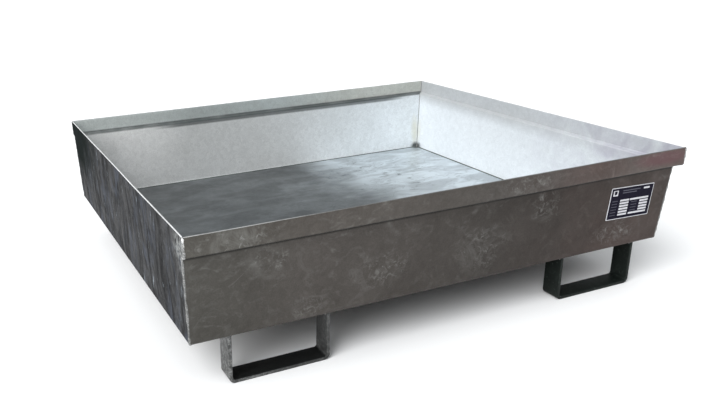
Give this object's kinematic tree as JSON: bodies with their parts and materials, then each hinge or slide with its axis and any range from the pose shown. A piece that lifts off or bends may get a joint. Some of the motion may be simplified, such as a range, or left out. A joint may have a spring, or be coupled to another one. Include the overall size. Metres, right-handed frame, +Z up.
{
  "type": "sheet-steel sump tray",
  "caption": "Galvanised sheet-steel sump tray: shallow rectangular tub with leaning walls, a rim band stepped out on three sides, and flat-bar U feet that take fork tines.",
  "frame": {"origin": "on the ground below the centre of the tray", "axes": "+X to the right along the longer side, +Y to the back, +Z up; the rating plate is on the front wall (-Y)"},
  "size_m": [1.3038, 1.1052, 0.3581],
  "materials": {
    "zinc_floor": "hot-dip galvanised, weathered satin",
    "zinc_wall": "hot-dip galvanised, mottled satin",
    "zinc_foot": "hot-dip galvanised, dark and scuffed",
    "weld": "zinc over ground weld",
    "plate": "printed label, semi-gloss"
  },
  "bodies": {
    "root": {"floor_sheet": "zinc_floor", "front_wall": "zinc_wall", "rear_wall": "zinc_wall", "left_wall": "zinc_wall", "right_wall": "zinc_wall", "corner_weld_front_left": "weld", "corner_weld_front_right": "weld", "corner_weld_rear_left": "weld", "corner_weld_rear_right": "weld", "floor_seam_front": "weld", "floor_seam_rear": "weld", "floor_seam_left": "weld", "floor_seam_right": "weld", "foot_welds_front_left": "weld", "foot_welds_front_right": "weld", "foot_welds_rear_left": "weld", "foot_welds_rear_right": "weld", "foot_front_left": "zinc_foot", "foot_front_right": "zinc_foot", "foot_rear_left": "zinc_foot", "foot_rear_right": "zinc_foot", "rating_plate": "plate"}
  },
  "joints": []
}
